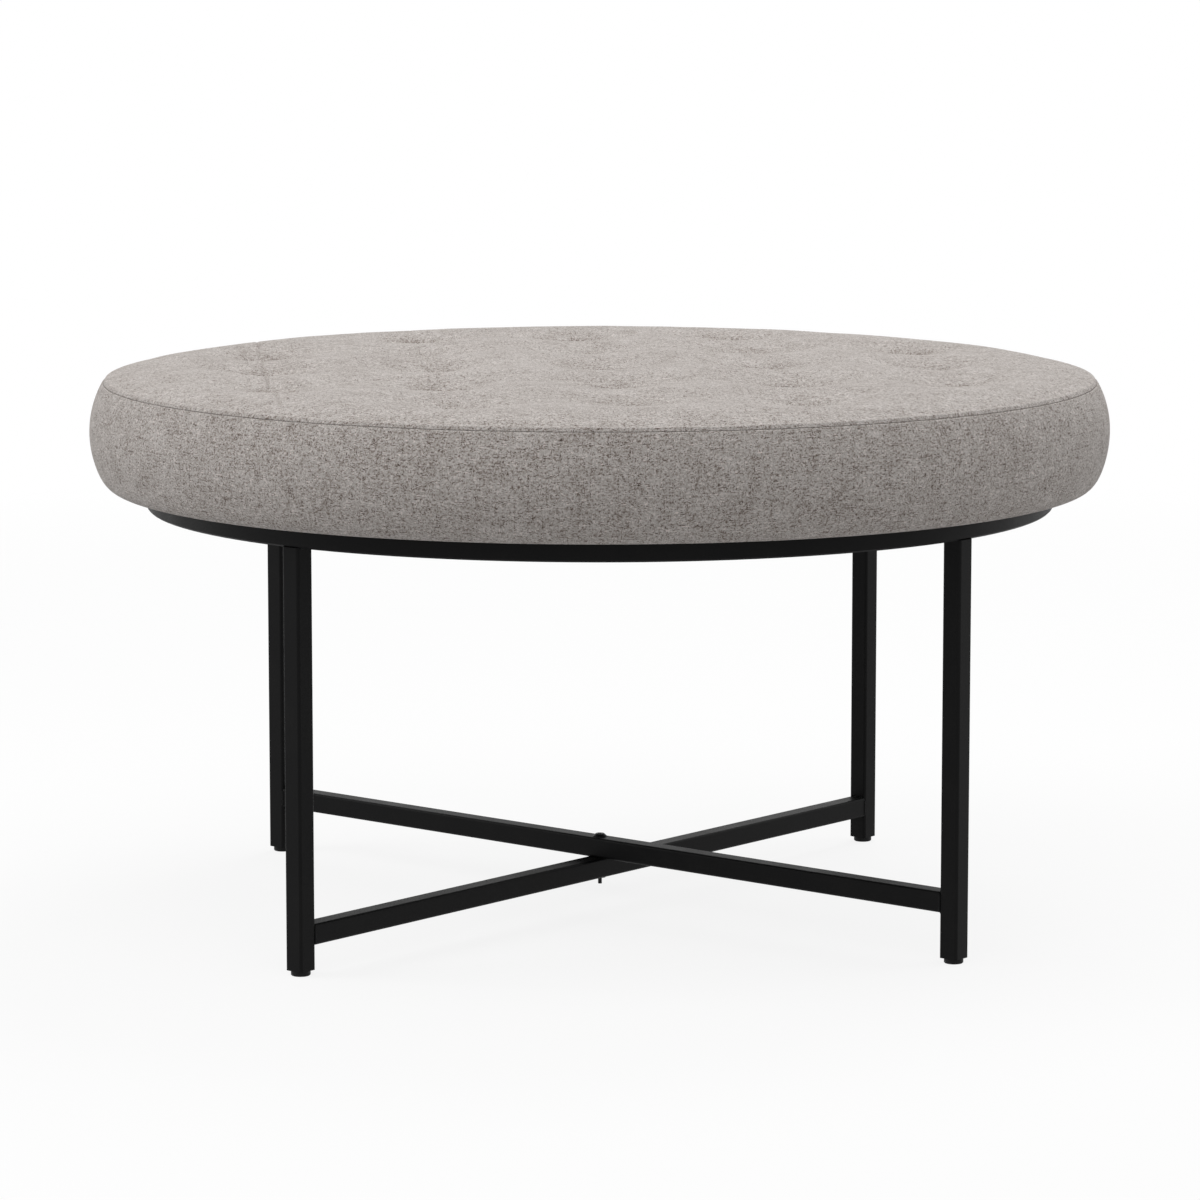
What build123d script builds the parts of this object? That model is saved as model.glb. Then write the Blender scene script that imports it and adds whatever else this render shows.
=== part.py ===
from build123d import *
from math import cos, hypot, radians, sin, sqrt
import os

# Round tufted ottoman: a tufted seat on a steel ring with four legs and two crossed stretchers.
# Sizes in millimetres. The floor is z = 0, the centre of the seat is x = y = 0, and +Z is up.
# The legs stand on the diagonals, and the rows of tufts run along X and Y.

# Frame
ring_radius = 400.0  # outside of the ring
tube_width = 18.0  # square tube of the ring, legs and stretchers
tube_wall = 1.5
tube_corner = 2.4  # outside corners of the straight tubes
ring_bevel = 1.5  # lower corners of the ring; its upper ones, under the seat, are left square
leg_length = 358.0
stretcher_drop = 20.7  # from a leg's lower end up to the lower stretcher
leg_names = ["back_right", "back_left", "front_left", "front_right"]
first_leg_angle = 45.0

# Seat
seat_overhang = 49.6  # widest part of the side, beyond the ring
bulge_drop = 39.6  # from the seam down to the widest part
seam_inset = 11.6  # seam of the top panel and the side band, inside the widest part
seam_rise = 8.6  # from the foam up to the seam
seam_padding = 8.0  # wadding outside the foam, at the seam
toe_inset = 8.1  # side above its drawn-in lower edge, inside the widest part
toe_height = 12.5  # above the ring
sole_inset = 16.6  # lower edge of the side, inside the widest part
crown_rise = 15.5  # from the seam up to the middle of the seat
roll_width = 33.0  # rounded shoulder inside the seam
roll_rise = 9.7
board_thickness = 15.0
foam_thickness = 67.1
hem_setback = 7.0  # hem's inner edge, outside the circle of the seat's screws
hem_thickness = 1.0
dust_cloth_margin = 15.0  # beyond the ring
dust_cloth_thickness = 0.4

# Tufts
tuft_pitch = 148.0
tuft_rows = 2  # rows each side of the middle one
tuft_margin = 78.0  # no tuft lies nearer to the seam than this
tuft_depth = 16.0
tuft_spread = 88.0  # from a tuft to the edge of its dip, across the pillow
tuft_neck = 2.5  # half width of the flat at the bottom of a dip
tie_radius = 1.5
tie_sides = 4
tie_slack = 0.2
toggle_length = 22.0
toggle_width = 6.0

# Screws and nuts. Those that lie hidden, and their holes, have eight sides.
screw_radius = 3.0
screw_sides = 8
screw_clearance = 0.3  # round a screw in a plain hole
head_radius = 5.8  # corners of a hexagon head
head_height = 4.0
head_sides = 6
lug_count = 4
lug_sides = 8  # of the shape whose half rounds a lug's end
lug_width = 28.0
lug_hole_inset = 17.0  # from the ring's inner face to the screw
lug_thickness = 4.0
seat_screw_length = 17.5
tee_nut_flange = 9.5
tee_nut_flange_thickness = 1.4
tee_nut_barrel = 4.0
tee_nut_length = 10.9
leg_screw_length = 8.0
leg_block_height = 8.0
access_radius = 7.0  # hole in the ring's top wall over the head of a leg screw

# Bolt and nut at the crossing of the stretchers
bolt_head_radius = 6.15
bolt_head_height = 2.8
bolt_head_rim = 0.7  # straight part of the head's side
bolt_head_flat = 3.8  # radius of the head's flat top
socket_radius = 2.3
socket_depth = 1.9
socket_sides = 6
bolt_lead_radius = 1.75  # plain lead below the thread
bolt_lead_length = 5.8
nut_flange_radius = 5.2
nut_flange_thickness = 1.0
nut_barrel_radius = 4.5  # corners of the hexagonal barrel
nut_barrel_sides = 6
nut_length = 10.0

# Levelling feet
foot_height = 4.5
foot_radius = 8.3
foot_sides = 24
foot_bevel = 0.8
stem_radius = 3.0
stem_sides = 12
stem_length = 24.0  # above the pad
stem_root = 2.5  # part of the stem moulded into the pad
stem_clearance = 0.05
plug_length = 20.0

# A cutting shape stands above the face that it opens by this much
overrun = 5.0

# Levels, radii and angles that follow from these sizes
leg_count = len(leg_names)
leg_step = 360 / leg_count
leg_angles = {name: first_leg_angle + index * leg_step for index, name in enumerate(leg_names)}
tube_bore = tube_width - 2 * tube_wall
ring_inner_radius = ring_radius - tube_width
leg_radius = ring_radius - tube_width / 2
ring_bottom = foot_height + leg_length
ring_top = ring_bottom + tube_width
lower_stretcher_bottom = foot_height + stretcher_drop
upper_stretcher_bottom = lower_stretcher_bottom + tube_width
stretcher_top = upper_stretcher_bottom + tube_width
nut_bottom = lower_stretcher_bottom - nut_flange_thickness
seat_screw_circle = ring_inner_radius - lug_hole_inset
hem_bottom = ring_top + dust_cloth_thickness
board_bottom = hem_bottom + hem_thickness
board_top = board_bottom + board_thickness
foam_top = board_top + foam_thickness
seam_level = foam_top + seam_rise
crown_level = seam_level + crown_rise
seat_radius = ring_radius + seat_overhang
seam_radius = seat_radius - seam_inset
toe_radius = seat_radius - toe_inset
sole_radius = seat_radius - sole_inset
core_radius = seam_radius - seam_padding
hem_radius = seat_screw_circle + hem_setback
dust_cloth_radius = ring_radius + dust_cloth_margin
roll_radius = seam_radius - roll_width
roll_level = seam_level + roll_rise
dome_radius = (roll_radius**2 + (crown_level - roll_level) ** 2) / (2 * (crown_level - roll_level))
dome_centre = crown_level - dome_radius
screw_hole_radius = screw_radius + screw_clearance
tuft_steps = range(-tuft_rows, tuft_rows + 1)
tuft_places = [
    (column * tuft_pitch, row * tuft_pitch)
    for row in tuft_steps
    for column in tuft_steps
    if hypot(column, row) * tuft_pitch < seam_radius - tuft_margin
]


def leg_plane(angle, level):
    """Level plane at a leg's centre, its X axis pointing outwards."""
    outward = (cos(radians(angle)), sin(radians(angle)), 0)
    return Plane(origin=(outward[0] * leg_radius, outward[1] * leg_radius, level), x_dir=outward)


def stretcher_plane(angle, level):
    """Upright plane across a stretcher, at the inner face of the leg that it starts from."""
    along = (cos(radians(angle)), sin(radians(angle)), 0)
    start = (-along[0] * ring_inner_radius, -along[1] * ring_inner_radius, level)
    return Plane(origin=start, x_dir=(-along[1], along[0], 0), z_dir=along)


def tuft_plane(place):
    """Plane that touches the domed crown over a tuft."""
    x, y = place
    rise = sqrt(dome_radius**2 - x**2 - y**2)
    return Plane(origin=(x, y, dome_centre + rise), x_dir=(rise, 0, -x), z_dir=(x, y, rise))


def screw(seat, length, way):
    """Screw on the Z axis. Its head stands on the level called seat, upwards if way is 1 and downwards if -1."""
    with BuildPart() as body:
        with BuildSketch(Plane.XY.offset(seat)):
            RegularPolygon(head_radius, head_sides)
        extrude(amount=way * head_height)
        with BuildSketch(Plane.XY.offset(seat)):
            RegularPolygon(screw_radius, screw_sides)
        extrude(amount=-way * length)
    return body.part


def levelling_pad():
    """Round pad on the Z axis with a blind bore for its stem."""
    with BuildPart() as pad:
        with BuildSketch():
            RegularPolygon(foot_radius, foot_sides)
        extrude(amount=foot_height)
        chamfer(pad.faces().sort_by(Axis.Z)[0].edges(), foot_bevel)
        with BuildSketch(Plane.XY.offset(foot_height)):
            RegularPolygon(stem_radius, stem_sides)
        extrude(amount=-stem_root, mode=Mode.SUBTRACT)
    return pad.part


def tuft_dip():
    """Cutting shape for the dip round a tuft. Its plane z = 0 touches the crown.

    It is what two upright prisms have in common. They cross at a right angle on the diagonals of the rows,
    so that the dip's corners run along the rows, and the dips of neighbours meet in a shallow valley.
    """
    with BuildPart() as dip:
        for angle in (-45, 45):
            with BuildSketch(Plane.XZ.rotated((0, 0, angle))):
                with BuildLine():
                    left = TangentArc((-tuft_spread, 0), (-tuft_neck, -tuft_depth), tangent=(1, 0))
                    right = TangentArc((tuft_spread, 0), (tuft_neck, -tuft_depth), tangent=(-1, 0))
                    Line(left @ 1, right @ 1)
                    Polyline(left @ 0, (-tuft_spread, overrun), (tuft_spread, overrun), right @ 0)
                make_face()
            extrude(amount=2 * tuft_spread, both=True, mode=Mode.INTERSECT if dip.solids() else Mode.ADD)
    return dip.part


os.makedirs("parts", exist_ok=True)

# Ring: square tube rolled to a circle, with a hole over each leg for its screw and a wider one above for the key
with BuildPart() as ring_frame:
    with BuildSketch(Plane.XZ):
        with Locations((leg_radius, ring_bottom + tube_width / 2)):
            section = Rectangle(tube_width, tube_width)
            chamfer(section.vertices().sort_by(Axis.Y)[:2], ring_bevel)
            Rectangle(tube_bore, tube_bore, mode=Mode.SUBTRACT)
    revolve(axis=Axis.Z)
    with BuildSketch(Plane.XY.offset(ring_top)):
        with PolarLocations(leg_radius, leg_count, start_angle=first_leg_angle):
            RegularPolygon(access_radius, screw_sides)
    extrude(amount=-tube_width / 2, mode=Mode.SUBTRACT)
    with BuildSketch(Plane.XY.offset(ring_bottom)):
        with PolarLocations(leg_radius, leg_count, start_angle=first_leg_angle):
            RegularPolygon(screw_hole_radius, screw_sides)
    extrude(amount=tube_width / 2, mode=Mode.SUBTRACT)
ring_frame.part.label = "ring_frame"
export_step(ring_frame.part, "parts/ring_frame.step")

# Lugs welded inside the ring, flush with its top
with BuildPart() as seat_lugs:
    with BuildSketch(Plane.XY.offset(ring_top)):
        with PolarLocations(seat_screw_circle, lug_count):
            RegularPolygon(lug_width / 2, lug_sides, major_radius=False, rotation=180 / lug_sides)
        with PolarLocations((seat_screw_circle + ring_radius) / 2, lug_count):
            Rectangle(ring_radius - seat_screw_circle, lug_width)
        Circle(ring_inner_radius, mode=Mode.INTERSECT)
        with PolarLocations(seat_screw_circle, lug_count):
            RegularPolygon(screw_hole_radius, screw_sides, mode=Mode.SUBTRACT)
    extrude(amount=-lug_thickness)
seat_lugs.part.label = "seat_lugs"
export_step(seat_lugs.part, "parts/seat_lugs.step")

# Legs: square tubes from just above the floor to the underside of the ring
for name, angle in leg_angles.items():
    with BuildPart() as leg:
        with BuildSketch(leg_plane(angle, foot_height)):
            RectangleRounded(tube_width, tube_width, tube_corner)
            Rectangle(tube_bore, tube_bore, mode=Mode.SUBTRACT)
        extrude(amount=leg_length)
    leg.part.label = f"leg_{name}"
    export_step(leg.part, f"parts/leg_{name}.step")

# Threaded blocks in the tops of the legs
with BuildPart() as leg_nut_blocks:
    with BuildSketch(Plane.XY.offset(ring_bottom)):
        with PolarLocations(leg_radius, leg_count, start_angle=first_leg_angle):
            Rectangle(tube_bore, tube_bore)
            RegularPolygon(screw_radius, screw_sides, mode=Mode.SUBTRACT)
    extrude(amount=-leg_block_height)
leg_nut_blocks.part.label = "leg_nut_blocks"
export_step(leg_nut_blocks.part, "parts/leg_nut_blocks.step")

# Screws from inside the ring down into the legs
with BuildPart() as leg_screws:
    with PolarLocations(leg_radius, leg_count, start_angle=first_leg_angle):
        add(screw(ring_bottom + tube_wall, tube_wall + leg_screw_length, 1))
leg_screws.part.label = "leg_screws"
export_step(leg_screws.part, "parts/leg_screws.step")

# Lower stretcher, from the front left leg to the back right one, with a hexagonal hole for its pressed-in nut
with BuildPart() as lower_stretcher:
    with BuildSketch(stretcher_plane(first_leg_angle, lower_stretcher_bottom + tube_width / 2)):
        RectangleRounded(tube_width, tube_width, tube_corner)
        Rectangle(tube_bore, tube_bore, mode=Mode.SUBTRACT)
    extrude(amount=2 * ring_inner_radius)
    with BuildSketch(Plane.XY.offset(upper_stretcher_bottom)):
        RegularPolygon(screw_hole_radius, screw_sides)
    extrude(amount=-tube_width / 2, mode=Mode.SUBTRACT)
    with BuildSketch(Plane.XY.offset(lower_stretcher_bottom)):
        RegularPolygon(nut_barrel_radius, nut_barrel_sides)
    extrude(amount=tube_width / 2, mode=Mode.SUBTRACT)
lower_stretcher.part.label = "lower_stretcher"
export_step(lower_stretcher.part, "parts/lower_stretcher.step")

# Upper stretcher, from the front right leg to the back left one, lying on the lower one
with BuildPart() as upper_stretcher:
    with BuildSketch(stretcher_plane(first_leg_angle + leg_step, upper_stretcher_bottom + tube_width / 2)):
        RectangleRounded(tube_width, tube_width, tube_corner)
        Rectangle(tube_bore, tube_bore, mode=Mode.SUBTRACT)
    extrude(amount=2 * ring_inner_radius)
    with BuildSketch(Plane.XY.offset(upper_stretcher_bottom)):
        RegularPolygon(screw_hole_radius, screw_sides)
    extrude(amount=tube_width, mode=Mode.SUBTRACT)
upper_stretcher.part.label = "upper_stretcher"
export_step(upper_stretcher.part, "parts/upper_stretcher.step")

# Bolt through both stretchers: low bevelled head with a socket, and a plain lead below the thread
with BuildPart() as cross_bolt:
    with BuildSketch(Plane.XZ):
        with BuildLine():
            Polyline(
                (0, stretcher_top),
                (bolt_head_radius, stretcher_top),
                (bolt_head_radius, stretcher_top + bolt_head_rim),
                (bolt_head_flat, stretcher_top + bolt_head_height),
                (0, stretcher_top + bolt_head_height),
                close=True,
            )
        make_face()
    revolve(axis=Axis.Z)
    with BuildSketch(Plane.XY.offset(stretcher_top + bolt_head_height)):
        RegularPolygon(socket_radius, socket_sides)
    extrude(amount=-socket_depth, mode=Mode.SUBTRACT)
    with BuildSketch(Plane.XY.offset(stretcher_top)):
        RegularPolygon(screw_radius, screw_sides)
    extrude(amount=nut_bottom - stretcher_top)
    with BuildSketch(Plane.XY.offset(nut_bottom)):
        RegularPolygon(bolt_lead_radius, screw_sides)
    extrude(amount=-bolt_lead_length)
cross_bolt.part.label = "cross_bolt"
export_step(cross_bolt.part, "parts/cross_bolt.step")

# Flanged nut pressed into the bottom wall of the lower stretcher
with BuildPart() as cross_nut:
    with BuildSketch(Plane.XY.offset(nut_bottom)):
        Circle(nut_flange_radius)
    extrude(amount=nut_flange_thickness)
    with BuildSketch(Plane.XY.offset(nut_bottom)):
        RegularPolygon(nut_barrel_radius, nut_barrel_sides)
    extrude(amount=nut_length)
    with BuildSketch(Plane.XY.offset(nut_bottom)):
        RegularPolygon(screw_radius, screw_sides)
    extrude(amount=nut_length, mode=Mode.SUBTRACT)
cross_nut.part.label = "cross_nut"
export_step(cross_nut.part, "parts/cross_nut.step")

# Plugs in the lower ends of the legs, bored for the stems of the feet
with BuildPart() as foot_plugs:
    with BuildSketch(Plane.XY.offset(foot_height)):
        with PolarLocations(leg_radius, leg_count, start_angle=first_leg_angle):
            Rectangle(tube_bore, tube_bore)
            RegularPolygon(stem_radius + stem_clearance, stem_sides, mode=Mode.SUBTRACT)
    extrude(amount=plug_length)
foot_plugs.part.label = "foot_plugs"
export_step(foot_plugs.part, "parts/foot_plugs.step")

# Levelling feet: under each leg a pad moulded on a threaded stem
for name, angle in leg_angles.items():
    with BuildPart() as foot_pad:
        with Locations(leg_plane(angle, 0)):
            add(levelling_pad())
    foot_pad.part.label = f"foot_pad_{name}"
    export_step(foot_pad.part, f"parts/foot_pad_{name}.step")

    with BuildPart() as foot_stem:
        with BuildSketch(leg_plane(angle, foot_height - stem_root)):
            RegularPolygon(stem_radius, stem_sides)
        extrude(amount=stem_root + stem_length)
    foot_stem.part.label = f"foot_stem_{name}"
    export_step(foot_stem.part, f"parts/foot_stem_{name}.step")

# Seat board: plywood disc with seats for the tee nuts and small holes for the tuft ties
with BuildPart() as seat_board:
    with BuildSketch(Plane.XY.offset(board_bottom)):
        Circle(core_radius)
        with PolarLocations(seat_screw_circle, lug_count):
            RegularPolygon(tee_nut_barrel, screw_sides, mode=Mode.SUBTRACT)
        with Locations(*tuft_places):
            RegularPolygon(tie_radius, tie_sides, mode=Mode.SUBTRACT)
    extrude(amount=board_thickness)
    with BuildSketch(Plane.XY.offset(board_top)):
        with PolarLocations(seat_screw_circle, lug_count):
            RegularPolygon(tee_nut_flange, screw_sides)
    extrude(amount=-tee_nut_flange_thickness, mode=Mode.SUBTRACT)
seat_board.part.label = "seat_board"
export_step(seat_board.part, "parts/seat_board.step")

# Tee nuts let into the top of the board
with BuildPart() as tee_nuts:
    with BuildSketch(Plane.XY.offset(board_top)):
        with PolarLocations(seat_screw_circle, lug_count):
            RegularPolygon(tee_nut_flange, screw_sides)
    extrude(amount=-tee_nut_flange_thickness)
    with BuildSketch(Plane.XY.offset(board_top)):
        with PolarLocations(seat_screw_circle, lug_count):
            RegularPolygon(tee_nut_barrel, screw_sides)
    extrude(amount=-tee_nut_length)
    with BuildSketch(Plane.XY.offset(board_top)):
        with PolarLocations(seat_screw_circle, lug_count):
            RegularPolygon(screw_radius, screw_sides)
    extrude(amount=-tee_nut_length, mode=Mode.SUBTRACT)
tee_nuts.part.label = "tee_nuts"
export_step(tee_nuts.part, "parts/tee_nuts.step")

# Screws from below, through the lugs and into the tee nuts
with BuildPart() as seat_screws:
    with PolarLocations(seat_screw_circle, lug_count):
        add(screw(ring_top - lug_thickness, seat_screw_length, -1))
seat_screws.part.label = "seat_screws"
export_step(seat_screws.part, "parts/seat_screws.step")

# Foam slab, pierced for the tuft ties
with BuildPart() as seat_foam:
    with BuildSketch(Plane.XY.offset(board_top)):
        Circle(core_radius)
        with Locations(*tuft_places):
            RegularPolygon(tie_radius, tie_sides, mode=Mode.SUBTRACT)
    extrude(amount=foam_thickness)
seat_foam.part.label = "seat_foam"
export_step(seat_foam.part, "parts/seat_foam.step")

# Top panel: fabric quilted over its wadding, domed, with a rounded shoulder and a dip at each tuft
with BuildPart() as cover_top_panel:
    with BuildSketch(Plane.XZ):
        with BuildLine():
            crown = TangentArc((0, crown_level), (roll_radius, roll_level), tangent=(1, 0))
            shoulder = TangentArc(crown @ 1, (seam_radius, seam_level), tangent=crown % 1)
            Polyline(shoulder @ 1, (core_radius, foam_top), (0, foam_top), crown @ 0)
        make_face()
    revolve(axis=Axis.Z)
    with Locations(*[tuft_plane(place) for place in tuft_places]):
        add(tuft_dip(), mode=Mode.SUBTRACT)
cover_top_panel.part.label = "cover_top_panel"
export_step(cover_top_panel.part, "parts/cover_top_panel.step")

# Side band: sewn to the top panel, bulging over the foam and turned under the board as a hem
with BuildPart() as cover_side_band:
    with BuildSketch(Plane.XZ):
        with BuildLine():
            side = ThreePointArc(
                (seam_radius, seam_level),
                (seat_radius, seam_level - bulge_drop),
                (toe_radius, ring_top + toe_height),
            )
            Polyline(
                side @ 1,
                (sole_radius, hem_bottom),
                (hem_radius, hem_bottom),
                (hem_radius, board_bottom),
                (core_radius, board_bottom),
                (core_radius, foam_top),
                side @ 0,
            )
        make_face()
    revolve(axis=Axis.Z)
cover_side_band.part.label = "cover_side_band"
export_step(cover_side_band.part, "parts/cover_side_band.step")

# Dust cloth over the underside of the board
with BuildPart() as dust_cloth:
    with BuildSketch(Plane.XY.offset(ring_top)):
        Circle(dust_cloth_radius)
        with PolarLocations(seat_screw_circle, lug_count):
            RegularPolygon(screw_hole_radius, screw_sides, mode=Mode.SUBTRACT)
    extrude(amount=dust_cloth_thickness)
dust_cloth.part.label = "dust_cloth"
export_step(dust_cloth.part, "parts/dust_cloth.step")

# Ties that hold the top panel down, from below the board up to the back of the panel
with BuildPart() as tuft_ties:
    with BuildSketch(Plane.XY.offset(board_bottom)):
        with Locations(*tuft_places):
            RegularPolygon(tie_radius, tie_sides)
    extrude(amount=foam_top - tie_slack - board_bottom)
tuft_ties.part.label = "tuft_ties"
export_step(tuft_ties.part, "parts/tuft_ties.step")

# Toggles under the board, one tied to each tuft
with BuildPart() as tuft_toggles:
    with BuildSketch(Plane.XY.offset(hem_bottom)):
        with Locations(*tuft_places):
            Rectangle(toggle_length, toggle_width)
    extrude(amount=hem_thickness)
tuft_toggles.part.label = "tuft_toggles"
export_step(tuft_toggles.part, "parts/tuft_toggles.step")
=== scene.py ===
import bpy
import bmesh
from math import atan2, cos, exp, hypot, pi, radians, sin, sqrt
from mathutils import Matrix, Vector, noise


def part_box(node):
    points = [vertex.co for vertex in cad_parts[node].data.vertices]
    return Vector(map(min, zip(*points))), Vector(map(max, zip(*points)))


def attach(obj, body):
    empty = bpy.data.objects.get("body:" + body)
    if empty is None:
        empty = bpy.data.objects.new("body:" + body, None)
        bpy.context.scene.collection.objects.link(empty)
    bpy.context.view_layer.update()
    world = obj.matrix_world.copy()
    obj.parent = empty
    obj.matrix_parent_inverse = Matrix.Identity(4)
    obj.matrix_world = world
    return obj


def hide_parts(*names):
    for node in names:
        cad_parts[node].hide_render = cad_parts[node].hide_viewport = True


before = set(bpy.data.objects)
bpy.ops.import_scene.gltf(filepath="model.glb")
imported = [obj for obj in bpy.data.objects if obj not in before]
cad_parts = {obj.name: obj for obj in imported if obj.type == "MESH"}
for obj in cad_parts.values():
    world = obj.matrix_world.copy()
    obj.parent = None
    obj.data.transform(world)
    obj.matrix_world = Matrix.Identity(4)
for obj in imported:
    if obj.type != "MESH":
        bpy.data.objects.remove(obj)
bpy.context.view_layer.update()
print("frame loaded:", len(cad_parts), "nodes")

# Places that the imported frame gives, in metres
ringLow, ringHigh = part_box("ring_frame")
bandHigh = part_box("cover_side_band")[1]
panelLow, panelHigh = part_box("cover_top_panel")
boardLow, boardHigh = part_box("seat_board")
clothLow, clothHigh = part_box("dust_cloth")
tieLow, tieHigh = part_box("tuft_ties")
upperLow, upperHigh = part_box("upper_stretcher")
lowerLow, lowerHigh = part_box("lower_stretcher")
tubeWidth = ringHigh.z - ringLow.z
mainBody = "ottoman"


# Node building. A wire is a socket that Python sums can use: each operator adds a Math node.
class Wire:
    def __init__(self, tree, socket):
        self.tree = tree
        self.socket = socket

    def math(self, operation, *others):
        return self.tree.math(operation, self, *others)

    def __add__(self, other):
        return self.math("ADD", other)

    def __sub__(self, other):
        return self.math("SUBTRACT", other)

    def __rsub__(self, other):
        return self.tree.math("SUBTRACT", other, self)

    def __mul__(self, other):
        return self.math("MULTIPLY", other)

    def __truediv__(self, other):
        return self.math("DIVIDE", other)

    def __rtruediv__(self, other):
        return self.tree.math("DIVIDE", other, self)

    def __neg__(self):
        return self * -1

    __radd__ = __add__
    __rmul__ = __mul__


class Tree:
    def __init__(self, nodeTree):
        self.nodes = nodeTree.nodes
        self.links = nodeTree.links
        self.nodes.clear()

    def add(self, kind, settings=None, values=None, out=0):
        node = self.nodes.new(kind)
        for key, value in (settings or {}).items():
            if key == "stops":
                self.setStops(node.color_ramp, value)
            else:
                setattr(node, key, value)
        for key, value in (values or {}).items():
            if isinstance(value, Wire):
                self.links.new(value.socket, node.inputs[key])
            else:
                node.inputs[key].default_value = value
        return Wire(self, node.outputs[out]) if node.outputs else None

    def setStops(self, ramp, stops):
        while len(ramp.elements) < len(stops):
            ramp.elements.new(1)
        for element, (place, colour) in zip(ramp.elements, stops):
            element.position = place
            element.color = (*colour, 1)

    def math(self, operation, *terms):
        return self.add("ShaderNodeMath", {"operation": operation}, dict(enumerate(terms)))

    def split(self, vector):
        return [self.add("ShaderNodeSeparateXYZ", None, {0: vector}, out) for out in "XYZ"]

    def join(self, x, y, z):
        return self.add("ShaderNodeCombineXYZ", None, {0: x, 1: y, 2: z})

    def noise(self, vector, scale, detail, roughness=0.5):
        values = {"Vector": vector, "Scale": scale, "Detail": detail, "Roughness": roughness}
        return self.add("ShaderNodeTexNoise", {"noise_dimensions": "3D"}, values)

    def steps(self, value, low, high, lowOut=0, highOut=1):
        values = {0: value, 1: low, 2: high, 3: lowOut, 4: highOut}
        return self.add("ShaderNodeMapRange", {"clamp": True}, values)

    def mixColour(self, factor, first, second):
        colours = [value if isinstance(value, Wire) else (*value, 1) for value in (first, second)]
        settings = {"data_type": "RGBA", "clamp_factor": True}
        return self.add("ShaderNodeMix", settings, {0: factor, 6: colours[0], 7: colours[1]}, 2)

    def shownRays(self):
        # 1 for what the camera, gloss and glass show, 0 for the light that falls on the object
        rays = ("Is Camera Ray", "Is Glossy Ray", "Is Transmission Ray")
        camera, glossy, through = [self.add("ShaderNodeLightPath", None, None, ray) for ray in rays]
        return (camera + glossy + through).math("MINIMUM", 1)


class Finish(Tree):
    def __init__(self, name):
        self.material = bpy.data.materials.new(name)
        self.material.use_nodes = True
        super().__init__(self.material.node_tree)
        self.place = self.add("ShaderNodeTexCoord", None, None, "Object")

    def cells(self, scale, feature="F1"):
        values = {"Vector": self.place, "Scale": scale}
        return self.add("ShaderNodeTexVoronoi", {"feature": feature}, values)

    def bump(self, height, distance, strength):
        values = {"Strength": strength, "Distance": distance, "Height": height}
        return self.add("ShaderNodeBump", None, values)

    def surface(self, values):
        shader = self.add("ShaderNodeBsdfPrincipled", None, values)
        self.add("ShaderNodeOutputMaterial", None, {0: shader})
        return self.material

    def coat(self, look, tint, rough, height, metallic=0.0):
        # What most finishes share: two colours mixed by tint, two roughnesses by rough's range, and a bump
        return self.surface({
            "Base Color": self.mixColour(tint, *look["colours"]),
            "Roughness": self.steps(*rough, *look["roughness"]),
            "Metallic": metallic,
            "Specular IOR Level": look["specular"],
            "Normal": self.bump(height, *look["bump"]),
        })


# Camera, where the photograph was taken from
photo = {
    "place": (-0.3980, -4.4661, 0.9164),
    "turn": radians(-5.093),  # from the Y axis, clockwise seen from above
    "tilt": radians(-8.143),  # below the horizon
    "lens": 152.81,
    "sensor": 36.0,
    "farthest": 60,
}
cameraData = bpy.data.cameras.new("photo_camera")
cameraData.lens = photo["lens"]
cameraData.sensor_width = photo["sensor"]
cameraData.clip_end = photo["farthest"]
camera = bpy.data.objects.new("photo_camera", cameraData)
camera.location = photo["place"]
camera.rotation_euler = (pi / 2 + photo["tilt"], 0, photo["turn"])
bpy.context.scene.collection.objects.link(camera)
bpy.context.scene.camera = camera
bpy.context.scene.view_settings.view_transform = "Standard"
print("camera placed")


# Cover fabric: a plain weave of flecked yarns
fabric = {
    "pitch": 0.00090,  # from yarn to yarn
    "warpFleck": 0.0014,  # length of one colour along a yarn
    "weftFleck": 0.0026,
    "float": 0.0019,  # size of the patches in which warp or weft shows
    "warpShare": 0.55,  # higher shows less of the warp
    "slub": 0.014,  # length of the darker and the lighter stretches of single yarns
    "fibreScale": 2600,
    "speckScale": 950,
    "cloudScale": 40,
    "yarnTone": 0.76,  # how far each layer moves the tone along the stops
    "fibreTone": 0.10,
    "cloudTone": 0.12,
    "speckTone": 0.08,
    "darkSlubTone": 0.06,
    "lightSlubTone": 0.05,
    "tuftShadeTone": 0.058,  # painted shade round each tuft, where the cloth gathers into its dip
    "evenTone": 0.002,
    "bumpHeight": 0.00022,
    "stops": [
        (0.28, (0.050, 0.036, 0.029)),
        (0.38, (0.190, 0.149, 0.127)),
        (0.46, (0.402, 0.360, 0.331)),
        (0.55, (0.556, 0.527, 0.506)),
        (0.68, (0.784, 0.706, 0.668)),
    ],
}


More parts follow.
